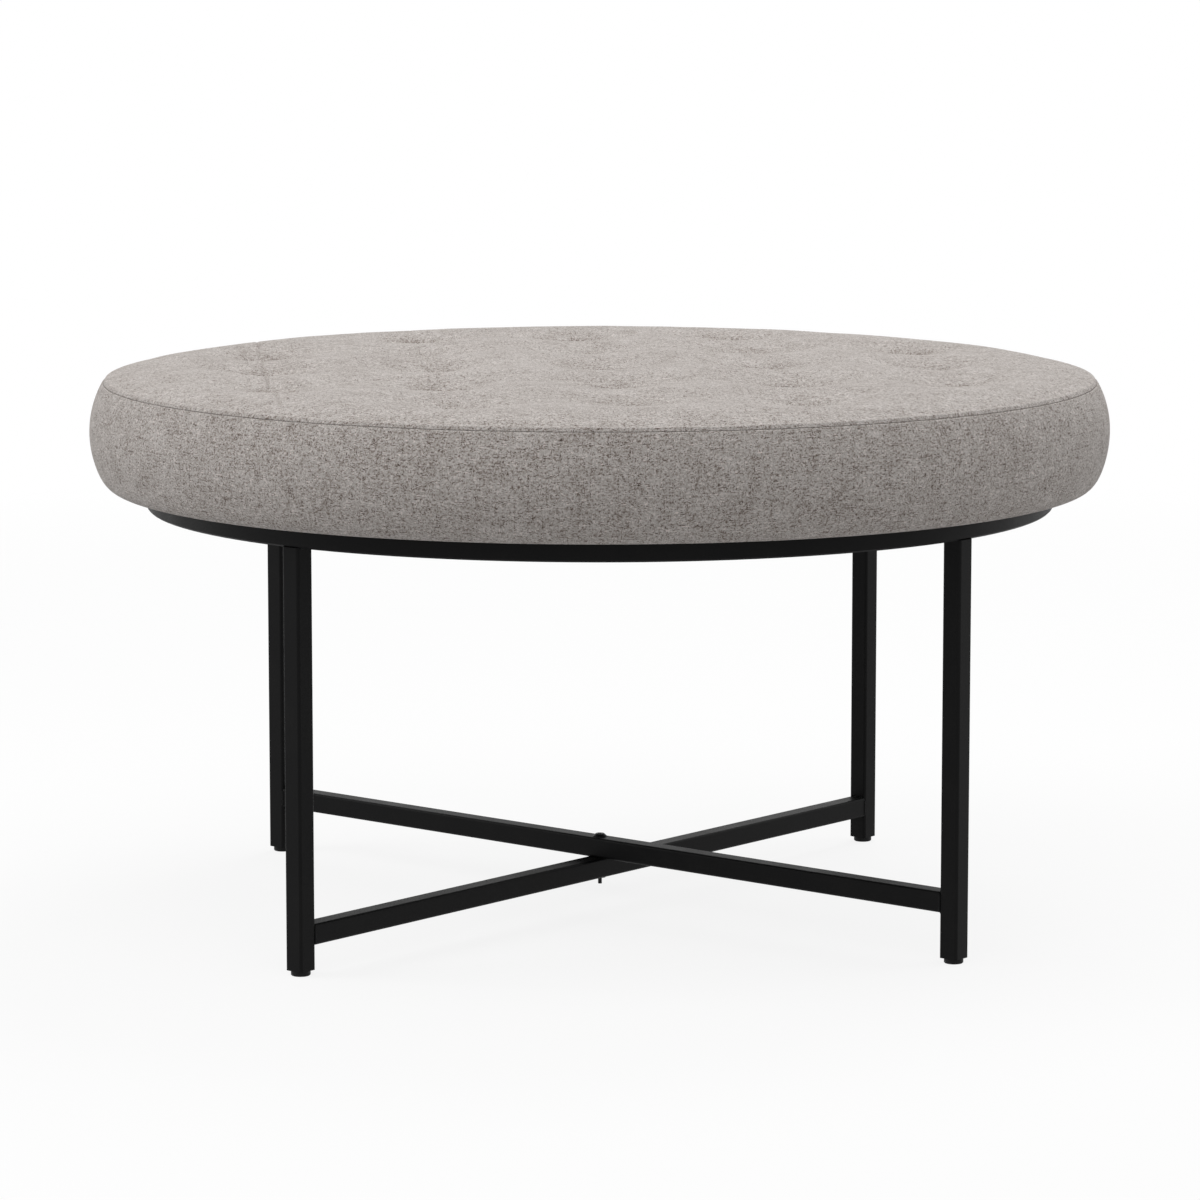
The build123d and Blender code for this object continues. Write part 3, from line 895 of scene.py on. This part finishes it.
# Foam slab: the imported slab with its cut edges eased
slab = {
    "easing": 0.0025,
    "easingSteps": 3,
    "rimDepth": 0.001,  # how near the side an edge lies to be eased
}


def buildFoam():
    mesh = bmesh.new()
    mesh.from_mesh(bpy.data.objects["seat_foam"].data)
    bmesh.ops.remove_doubles(mesh, verts=mesh.verts, dist=1e-6)
    rim = [
        edge for edge in mesh.edges
        if all(hypot(*vert.co.xy) > foamRadius - slab["rimDepth"] for vert in edge.verts)
        and abs(edge.verts[0].co.z - edge.verts[1].co.z) < 1e-5
    ]
    bmesh.ops.bevel(
        mesh, geom=rim, offset=slab["easing"], segments=slab["easingSteps"], affect="EDGES", profile=0.5)
    return takeMesh(mesh, "foam_slab")


foamSlab = makePiece("foam_slab", buildFoam(), slotFinishes["foam"], False)
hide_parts("seat_foam")


# Dust cloth: a disc of spun-bonded cloth stapled under the board, slack inside the ring
dustCloth = {
    "rings": 46,
    "segments": 240,
    "thickness": 0.0004,
    "sag": 0.0022,
    "slackRadius": 0.344,
    "waveDepth": 0.0007,
    "waveSize": 9,
}


def dustClothRing(radius, level):
    slack = max(0, 1 - (radius / dustCloth["slackRadius"]) ** 2)
    ring = []
    for k in range(dustCloth["segments"]):
        turn = 2 * pi * k / dustCloth["segments"]
        x, y = radius * cos(turn), radius * sin(turn)
        wave = noise.noise(Vector((x * dustCloth["waveSize"], y * dustCloth["waveSize"], 3.3)))
        drop = dustCloth["sag"] * slack - wave * dustCloth["waveDepth"] * min(1, 3 * slack)
        ring.append((x, y, level - max(0, drop)))
    return ring


def buildDustCloth():
    mesh = bmesh.new()
    layers = []
    for level in (clothLow.z, clothLow.z + dustCloth["thickness"]):
        radii = [clothHigh.x * index / dustCloth["rings"] for index in range(1, dustCloth["rings"] + 1)]
        rings = [[mesh.verts.new(place) for place in dustClothRing(radius, level)] for radius in radii]
        layers.append((mesh.verts.new((0, 0, level - dustCloth["sag"])), rings))
    for centre, rings in layers:
        for k in range(dustCloth["segments"]):
            mesh.faces.new((centre, rings[0][k], rings[0][(k + 1) % dustCloth["segments"]]))
        for inner, outer in zip(rings, rings[1:]):
            bridge(mesh, inner, outer)
    bridge(mesh, layers[0][1][-1], layers[1][1][-1])
    return takeMesh(mesh, "dust_cloth_sheet")


dustSheet = makePiece("dust_cloth_sheet", buildDustCloth(), slotFinishes["dust_fabric"])
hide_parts("dust_cloth")


# Pieces that repeat, made by geometry nodes. Each size of a piece is an input of its tree.
socketKinds = {int: "NodeSocketInt", float: "NodeSocketFloat", bpy.types.Material: "NodeSocketMaterial"}


class Pattern(Tree):
    def __init__(self, name, sizes, material):
        self.group = bpy.data.node_groups.new(name, "GeometryNodeTree")
        super().__init__(self.group)
        sockets = self.group.interface
        sockets.new_socket("Geometry", in_out="INPUT", socket_type="NodeSocketGeometry")
        self.material = material
        self.settings = {}
        for key, value in {**sizes, "material": material}.items():
            socket = sockets.new_socket(key, in_out="INPUT", socket_type=socketKinds[type(value)])
            self.settings[socket.identifier] = value
        sockets.new_socket("Geometry", in_out="OUTPUT", socket_type="NodeSocketGeometry")
        start = self.nodes.new("NodeGroupInput")
        self.given = {socket.name: Wire(self, socket) for socket in start.outputs if socket.name}

    def line(self, start, end):
        return self.add("GeometryNodeCurvePrimitiveLine", None, {"Start": start, "End": end})

    def tube(self, curve, radius, sides=6, scale=1.0):
        ring = self.add("GeometryNodeCurvePrimitiveCircle", None, {"Resolution": sides, "Radius": radius})
        values = {"Curve": curve, "Profile Curve": ring, "Scale": scale, "Fill Caps": True}
        return self.add("GeometryNodeCurveToMesh", None, values)

    def gather(self, parts):
        joined = self.add("GeometryNodeJoinGeometry")
        for part in reversed(parts):
            self.links.new(part.socket, joined.socket.node.inputs[0])
        return joined

    def pointsRoundSeat(self):
        values = {"Vertices": self.given["count"], "Radius": self.given["radius"]}
        circle = self.add("GeometryNodeMeshCircle", None, values)
        values = {"Geometry": circle, "Offset": self.join(0, 0, self.given["level"])}
        return self.add("GeometryNodeSetPosition", None, values)

    def alongSeat(self):
        # The turn that lays a piece along the circle it stands on
        x, y = self.split(self.add("GeometryNodeInputPosition"))[:2]
        return y.math("ARCTAN2", x) + pi / 2

    def chance(self, least, most):
        values = {2: least, 3: most, 8: self.given["seed"]}
        return self.add("FunctionNodeRandomValue", {"data_type": "FLOAT"}, values, 1)

    def looseTurn(self):
        return self.chance(-self.given["looseTurn"], self.given["looseTurn"])

    def scatter(self, points, piece, turn):
        rotation = self.add("FunctionNodeEulerToRotation", None, {0: self.join(0, 0, turn)})
        values = {"Points": points, "Instance": piece, "Rotation": rotation}
        self.finish(self.add("GeometryNodeInstanceOnPoints", None, values))

    def finish(self, geometry):
        plain = self.add("GeometryNodeRealizeInstances", None, {0: geometry})
        values = {"Geometry": plain, "Material": self.given["material"]}
        self.add("NodeGroupOutput", None, {0: self.add("GeometryNodeSetMaterial", None, values)})

    def make(self, name, slotName, points=((0, 0, 0),), edges=()):
        base = bpy.data.meshes.new(name + "_base")
        base.from_pydata(points, edges, [])
        holder = bpy.data.objects.new(name + "_holder", base)
        bpy.context.scene.collection.objects.link(holder)
        modifier = holder.modifiers.new("pattern", "NODES")
        modifier.node_group = self.group
        for identifier, value in self.settings.items():
            modifier[identifier] = value
        depsgraph = bpy.context.evaluated_depsgraph_get()
        mesh = bpy.data.meshes.new_from_object(holder.evaluated_get(depsgraph), depsgraph=depsgraph)
        holder.modifiers.remove(modifier)
        bpy.data.objects.remove(holder)
        mesh.name = name
        return makePiece(name, mesh, self.material)


# Staples that hold the dust cloth and the hem, round the outside of the ring
staples = {
    "count": 74,
    "radius": 0.4068,
    "level": clothLow.z - 0.0004,  # just under the cloth
    "crown": 0.0100,
    "legs": 0.0035,
    "wire": 0.0007,
    "looseTurn": radians(9),
    "seed": 5,
}


def stapleTree():
    made = Pattern("staple_pattern", staples, slotFinishes["zinc"])
    given = made.given
    half = given["crown"] / 2
    corners = [(-half, given["legs"]), (-half, 0), (half, 0), (half, given["legs"])]
    corners = [made.join(x, 0, z) for x, z in corners]
    wires = [made.tube(made.line(*ends), given["wire"] / 2) for ends in zip(corners, corners[1:])]
    made.scatter(made.pointsRoundSeat(), made.gather(wires), made.alongSeat() + made.looseTurn())
    return made


stapleTree().make("hem_staples", "zinc")


# Stitches in the crease of the seam
stitches = {
    "count": 560,
    "radius": seamRadius - 0.0009,  # inside the crease
    "level": seamLevel + 0.00012,
    "length": 0.0034,
    "thread": 0.00024,  # the thread's own radius
    "looseTurn": radians(4),
    "seed": 2,
}


def stitchTree():
    made = Pattern("stitch_pattern", stitches, tuftThread)
    half = made.given["length"] / 2
    stitch = made.tube(made.line(made.join(-half, 0, 0), made.join(half, 0, 0)), made.given["thread"])
    made.scatter(made.pointsRoundSeat(), stitch, made.alongSeat() + made.looseTurn())
    return made


stitchTree().make("seam_stitches", "cover_fabric")


# Weld beads between the legs, the ring and the stretchers, under the powder coat
welds = {
    "radius": 0.0011,
    "ripple": 0.00022,
    "ripplePitch": 0.0024,
    "step": 0.0006,
    "lumpScale": 420.0,
    "seed": 4.6,
}
weldGaps = {
    "corner": 0.0024,  # a bead ends this far before a tube's corner
    "side": 0.0022,
    "inset": 0.0003,
}


def beadEnds():
    # The two ends of each bead, one pair after another
    half = tubeWidth / 2
    reach = half - weldGaps["corner"]
    ends = []
    for index in range(4):
        turn = pi / 4 + index * pi / 2
        out = Vector((cos(turn), sin(turn), 0))
        side = Vector((-sin(turn), cos(turn), 0))
        centre = out * (ringHigh.x - half)
        inner = centre - out * half
        low, high = (lowerLow.z, lowerHigh.z) if index % 2 == 0 else (upperLow.z, upperHigh.z)
        for way in (1, -1):
            edge = centre + side * way * half + Vector((0, 0, ringLow.z))
            ends += [edge - out * reach, edge + out * reach]
        for way in (1, -1):
            edge = inner + side * way * (half - weldGaps["inset"])
            levels = (low + weldGaps["side"], high - weldGaps["side"])
            ends += [edge + Vector((0, 0, level)) for level in levels]
        for level in (low, high):
            ends += [inner + side * way * reach + Vector((0, 0, level)) for way in (1, -1)]
    return [tuple(end) for end in ends]


def weldTree():
    made = Pattern("weld_pattern", welds, slotFinishes["frame_paint"])
    given = made.given
    line = made.add("GeometryNodeMeshToCurve", None, {0: given["Geometry"]})
    values = {"Curve": line, "Length": given["step"]}
    line = made.add("GeometryNodeResampleCurve", {"mode": "LENGTH"}, values)
    along = made.add("GeometryNodeSplineParameter", None, None, "Length")
    wave = (along / given["ripplePitch"] * 2 * pi).math("SINE")
    place = made.add("GeometryNodeInputPosition")
    shifted = made.add("ShaderNodeVectorMath", {"operation": "ADD"}, {0: place, 1: given["seed"]})
    lumps = made.noise(shifted, given["lumpScale"], 1)
    size = given["radius"] + given["ripple"] * wave + given["ripple"] * 4 * (lumps - 0.5)
    made.finish(made.tube(line, 1.0, 8, size))
    return made


beadPoints = beadEnds()
beadEdges = [(index, index + 1) for index in range(0, len(beadPoints), 2)]
weldTree().make("frame_welds", "frame_paint", beadPoints, beadEdges)


# Ties: two plies of twine, twisted, one tie under each tuft
twine = {
    "height": tieHigh.z - tieLow.z,
    "turns": (tieHigh.z - tieLow.z) * 160,  # so many in a metre
    "plyRadius": 0.00062,
    "plyOffset": 0.00060,
    "pointsPerTurn": 9,
    "seed": 3,
}


def twineTree():
    made = Pattern("twine_pattern", twine, tieTwine)
    given = made.given
    spiral = made.add("GeometryNodeCurveSpiral", None, {
        "Resolution": given["pointsPerTurn"], "Rotations": given["turns"], "Height": given["height"],
        "Start Radius": given["plyOffset"], "End Radius": given["plyOffset"]})
    ply = made.tube(spiral, given["plyRadius"])
    second = made.add("GeometryNodeTransform", None, {"Geometry": ply, "Rotation": (0, 0, pi)})
    made.scatter(given["Geometry"], made.gather((ply, second)), made.chance(0, 2 * pi))
    return made


tiePoints = [(x, y, tieLow.z) for x, y in tuftPlaces]
ties = twineTree().make("tuft_tie_twine", "tie_cord", tiePoints)
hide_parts("tuft_ties")


# Threads at the bottoms of the tufts: two short strands that cross the neck of each dip
threads = {
    "length": 0.0052,
    "radius": 0.00042,
    "rise": 0.0006,
    "looseTurn": 0.5,
    "seed": 9,
}
strandTurn = 0.12  # of one strand against the other


def threadTree():
    made = Pattern("tuft_thread_pattern", threads, tuftThread)
    given = made.given
    half, low = given["length"] / 2, given["rise"] * -1.5
    arch = made.add("GeometryNodeCurveQuadraticBezier", None, {
        "Resolution": 6, "Start": made.join(-half, 0, low), "Middle": made.join(0, 0, given["rise"] * 2),
        "End": made.join(half, 0, low)})
    strand = made.tube(arch, given["radius"])
    apart = given["radius"] * 1.05
    values = {"Geometry": strand, "Translation": made.join(0, apart, 0)}
    near = made.add("GeometryNodeTransform", None, values)
    values = {"Geometry": strand, "Translation": made.join(0, -apart, 0), "Rotation": (0, 0, strandTurn)}
    far = made.add("GeometryNodeTransform", None, values)
    made.scatter(given["Geometry"], made.gather((far, near)), made.looseTurn())
    return made


bottoms = [topPanel.ray_cast((x, y, 1), (0, 0, -1))[1] for x, y in tuftPlaces]
threadPoints = [(x, y, bottom.z + threads["rise"]) for (x, y), bottom in zip(tuftPlaces, bottoms)]
threadTree().make("tuft_threads", "cover_fabric", threadPoints)


# Studio: a pale floor that keeps the shadow and fades into the white background, and four soft lamps
studio = {
    "floorReach": 6.0,
    "fadeStart": 1.3,
    "fadeEnd": 3.2,
    "floorShown": 0.97,
    "floorBounce": 0.57,
    "floorGlow": 0.86,  # share of the floor's shown white that no shadow darkens
    "skyStrength": 0.40,
    "white": (1, 1, 1, 1),
    "lampAim": (0, 0, 0.3),
}
lamps = {
    "top_softbox": {"power": 18.2, "size": 2.0, "place": (-0.3, -1.42, 2.85)},
    "back_softbox": {"power": 32.5, "size": 1.6, "place": (0.9, 1.45, 2.9)},
    "left_softbox": {"power": 26.0, "size": 1.3, "place": (-2.5, -0.1, 2.0)},
    "right_softbox": {"power": 12.5, "size": 1.3, "place": (2.6, 0.2, 2.0)},
}


def floorFinish():
    made = Finish("studio_floor")
    shown = made.shownRays()
    shade = made.steps(shown, 0, 1, studio["floorBounce"], studio["floorShown"])
    diffuse = made.add("ShaderNodeBsdfDiffuse", None, {"Color": made.join(shade, shade, shade)})
    glow = made.add("ShaderNodeEmission", None, {"Color": studio["white"], "Strength": 1.0})
    lit = made.add("ShaderNodeMixShader", None, {0: shown * studio["floorGlow"], 1: diffuse, 2: glow})
    clear = made.add("ShaderNodeBsdfTransparent")
    x, y = made.split(made.place)[:2]
    fade = made.steps((x * x + y * y).math("SQRT"), studio["fadeStart"], studio["fadeEnd"])
    mixed = made.add("ShaderNodeMixShader", None, {0: fade, 1: lit, 2: clear})
    made.add("ShaderNodeOutputMaterial", None, {0: mixed})
    return made.material


corners = [(-1, -1), (1, -1), (1, 1), (-1, 1)]
floorMesh = bpy.data.meshes.new("studio_floor")
floorMesh.from_pydata(
    [(x * studio["floorReach"], y * studio["floorReach"], 0) for x, y in corners], [], [(0, 1, 2, 3)])
floorMesh.materials.append(floorFinish())
floorPiece = bpy.data.objects.new("studio_floor", floorMesh)
bpy.context.scene.collection.objects.link(floorPiece)

world = bpy.data.worlds.new("studio_world")
world.use_nodes = True
sky = Tree(world.node_tree)
strength = sky.steps(sky.shownRays(), 0, 1, studio["skyStrength"], 1.0)
background = sky.add("ShaderNodeBackground", None, {"Color": studio["white"], "Strength": strength})
sky.add("ShaderNodeOutputWorld", None, {0: background})
bpy.context.scene.world = world

for lampName, lamp in lamps.items():
    light = bpy.data.lights.new(lampName, "AREA")
    light.shape = "SQUARE"
    light.energy = lamp["power"]
    light.size = lamp["size"]
    holder = bpy.data.objects.new(lampName, light)
    holder.location = lamp["place"]
    aim = Vector(studio["lampAim"]) - Vector(lamp["place"])
    holder.rotation_euler = aim.to_track_quat("-Z", "Y").to_euler()
    bpy.context.scene.collection.objects.link(holder)
print("studio lit")
